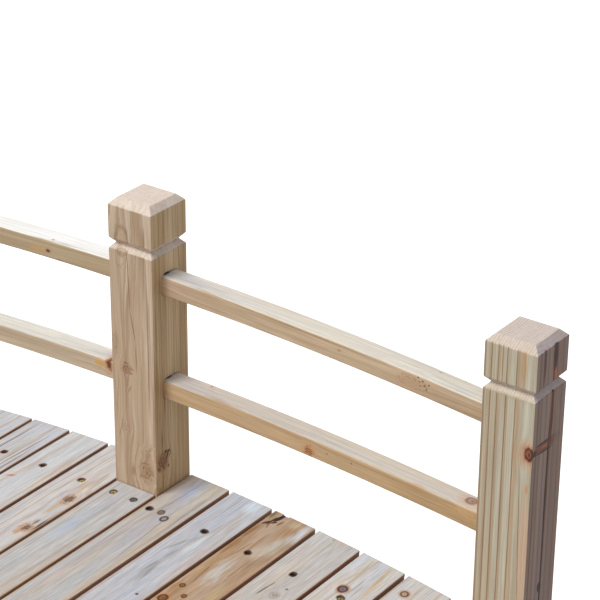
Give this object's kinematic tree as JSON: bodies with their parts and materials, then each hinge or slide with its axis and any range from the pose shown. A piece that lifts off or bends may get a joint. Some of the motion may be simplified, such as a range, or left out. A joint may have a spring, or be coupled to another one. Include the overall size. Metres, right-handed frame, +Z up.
{
  "type": "arched garden bridge",
  "caption": "Low arched wooden garden bridge: cross planks on two arched side beams, with square capped posts and arched rails along both sides.",
  "frame": {"origin": "on the ground, at the middle of the bridge", "axes": "+X along the bridge to its right end, +Y across it to the back railing, +Z up"},
  "size_m": [1.498, 0.82, 0.5718],
  "materials": {
    "deck_plank": "bare planed fir, slightly weathered",
    "post": "bare planed fir",
    "rail": "bare planed fir",
    "side_beam": "bare sawn fir",
    "fastener": "zinc-plated steel"
  },
  "bodies": {
    "root": {"plank_01": "deck_plank", "plank_02": "deck_plank", "plank_03": "deck_plank", "plank_04": "deck_plank", "plank_05": "deck_plank", "plank_06": "deck_plank", "plank_07": "deck_plank", "plank_08": "deck_plank", "plank_09": "deck_plank", "plank_10": "deck_plank", "plank_11": "deck_plank", "plank_12": "deck_plank", "plank_13": "deck_plank", "plank_14": "deck_plank", "plank_15": "deck_plank", "plank_16": "deck_plank", "plank_17": "deck_plank", "plank_18": "deck_plank", "plank_19": "deck_plank", "plank_20": "deck_plank", "plank_21": "deck_plank", "post_front_left": "post", "post_front_middle": "post", "post_front_right": "post", "post_back_left": "post", "post_back_middle": "post", "post_back_right": "post", "rail_front_left_lower": "rail", "rail_front_left_upper": "rail", "rail_front_right_lower": "rail", "rail_front_right_upper": "rail", "rail_back_left_lower": "rail", "rail_back_left_upper": "rail", "rail_back_right_lower": "rail", "rail_back_right_upper": "rail", "side_beam_front": "side_beam", "side_beam_back": "side_beam", "cross_brace_left": "side_beam", "cross_brace_middle": "side_beam", "cross_brace_right": "side_beam"}
  },
  "joints": []
}
